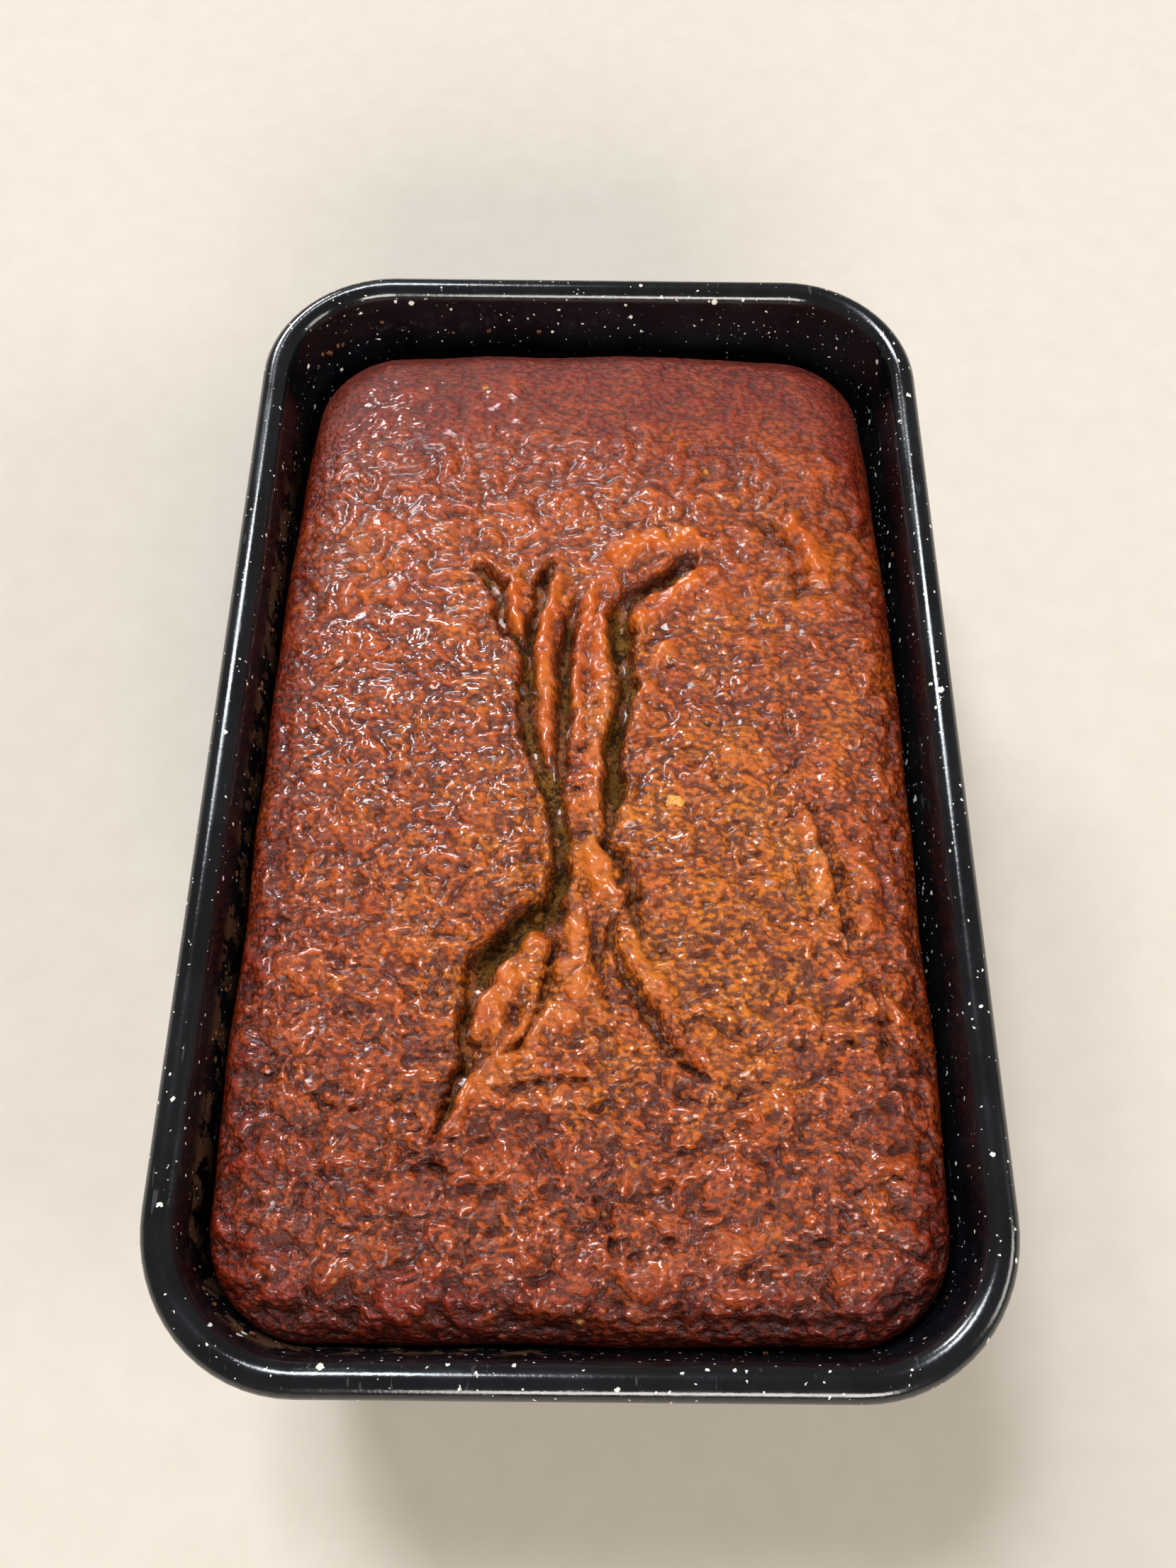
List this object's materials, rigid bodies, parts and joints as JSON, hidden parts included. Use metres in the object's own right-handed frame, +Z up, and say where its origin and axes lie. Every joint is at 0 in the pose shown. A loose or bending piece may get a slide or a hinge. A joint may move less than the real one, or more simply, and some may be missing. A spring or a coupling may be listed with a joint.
{
  "type": "banana bread in a loaf tin",
  "caption": "Dark flecked loaf tin with a rolled rim, holding a banana bread whose glossy brown top crust has split along the middle. The loaf lifts out.",
  "frame": {"origin": "centre of the tin's base, on the surface it stands on", "axes": "+Z up, +Y along the tin towards the end where the split fans out into folds, +X across it to the right"},
  "size_m": [0.145, 0.232, 0.0693],
  "materials": {
    "speckled_coating": "satin",
    "rim_wire": "satin",
    "burnt_crumbs": "matte",
    "crumb": "matte",
    "pan_crust": "matte",
    "top_crust": "gloss",
    "banana": "satin"
  },
  "bodies": {
    "tin": {"tin_shell": "speckled_coating", "rim_wire": "rim_wire", "baked_on_crumbs": "burnt_crumbs"},
    "loaf": {"crumb": "crumb", "pan_crust": "pan_crust", "top_crust": "top_crust", "banana_pieces": "banana"}
  },
  "joints": [
    {"name": "loaf_lift", "type": "slide", "parent": "tin", "child": "loaf", "axis": [0, 0, 1], "range_m": [0, 0.08]}
  ]
}
